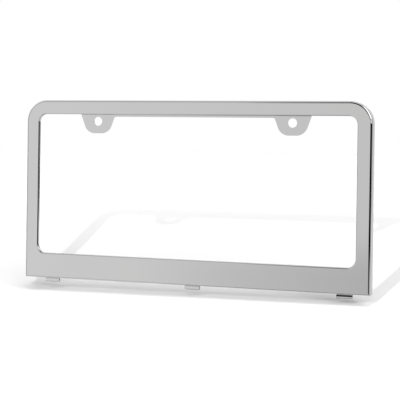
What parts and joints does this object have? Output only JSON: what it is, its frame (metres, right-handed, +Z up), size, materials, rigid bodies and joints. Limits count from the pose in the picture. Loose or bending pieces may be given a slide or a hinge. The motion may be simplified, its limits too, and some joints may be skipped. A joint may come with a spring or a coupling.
{
  "type": "number plate holder",
  "caption": "Bright one-piece pressed frame that holds a number plate behind its window, with set-back screw ears under the top bar and curled hooks below the bottom flange.",
  "frame": {"origin": "midway between the two screw holes, on the rear face of the ears", "axes": "+X along the frame to the right as seen from the front, +Y from the face back towards the vehicle, +Z up"},
  "size_m": [0.3144, 0.0109, 0.1632],
  "materials": {
    "chrome_plate": "mirror-polished chromium plate over pressed steel sheet"
  },
  "bodies": {
    "root": {"plate_frame": "chrome_plate"}
  },
  "joints": []
}
